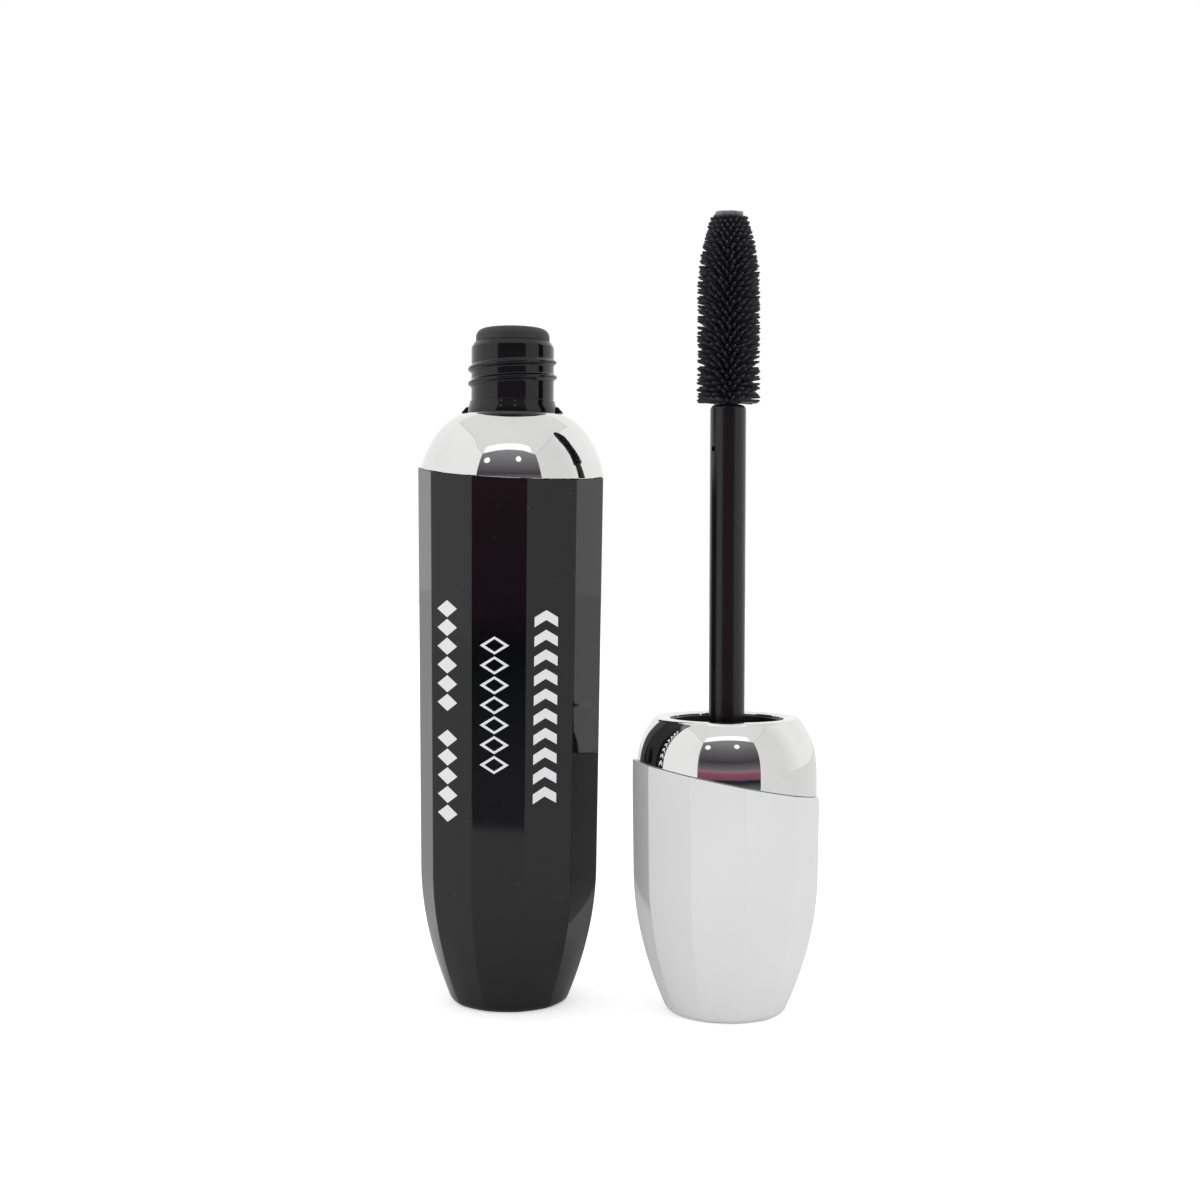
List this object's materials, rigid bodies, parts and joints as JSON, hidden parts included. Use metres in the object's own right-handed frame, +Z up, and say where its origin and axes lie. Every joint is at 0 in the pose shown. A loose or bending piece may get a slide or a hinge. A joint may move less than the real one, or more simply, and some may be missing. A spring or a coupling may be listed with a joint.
{
  "type": "mascara tube",
  "caption": "Opened mascara tube: faceted bottle with a threaded neck and wiper, and its faceted cap standing upside down with the wand and brush up.",
  "frame": {"origin": "centre of the flat base of the bottle, on the surface that the bottle and the upturned cap both stand on", "axes": "+Z up along the bottle's own axis; +X towards the cap and wand, which stand beside the bottle; -Y is the front"},
  "size_m": [0.0575, 0.032, 0.1136],
  "materials": {
    "shell_black": "high-gloss black moulding with flat facets",
    "chrome": "mirror chrome plating on plastic",
    "vial_black": "semi-gloss black moulding",
    "wiper_black": "matte soft elastomer",
    "paste_black": "wet black paste",
    "cap_white": "gloss white moulding with flat facets",
    "inner_black": "satin black moulding",
    "seal_grey": "matte foamed liner",
    "rod_black": "satin black moulding",
    "core_black": "satin black moulding",
    "bristle_black": "satin black elastomer bristles",
    "plug_grey": "grey moulded plug"
  },
  "bodies": {
    "bottle": {"outer_shell": "shell_black", "shoulder_ring": "chrome", "inner_vial": "vial_black", "wiper": "wiper_black", "mascara_fill": "paste_black"},
    "tip": {"brush_tip_plug": "plug_grey"},
    "wand": {"rod": "rod_black", "brush_core": "core_black", "bristles": "bristle_black"},
    "seal": {"seal_liner": "seal_grey"},
    "cap": {"cap_shell": "cap_white", "cap_collar": "chrome", "inner_cap": "inner_black"}
  },
  "joints": [
    {"name": "cap_turnover", "type": "hinge", "parent": "bottle", "child": "tip", "pos_m": [0.0155, -0.00255, 0.1065], "axis": [-0.1623, -0.9867, 0], "range_deg": [0, 180]},
    {"name": "wand_insert", "type": "slide", "parent": "tip", "child": "wand", "axis": [0, 0, 1], "range_m": [0, 0.08485]},
    {"name": "cap_rise", "type": "slide", "parent": "wand", "child": "seal", "axis": [0, 0, 1], "range_m": [0, 0.0021]},
    {"name": "cap_turn", "type": "hinge", "parent": "seal", "child": "cap", "pos_m": [0.031, -0.0051, 0], "axis": [0, 0, 1], "range_deg": [0, 355]}
  ],
  "couplings": [
    {"joint": "cap_rise", "follows": "cap_turn", "m_per_rad": 0.00033688}
  ]
}
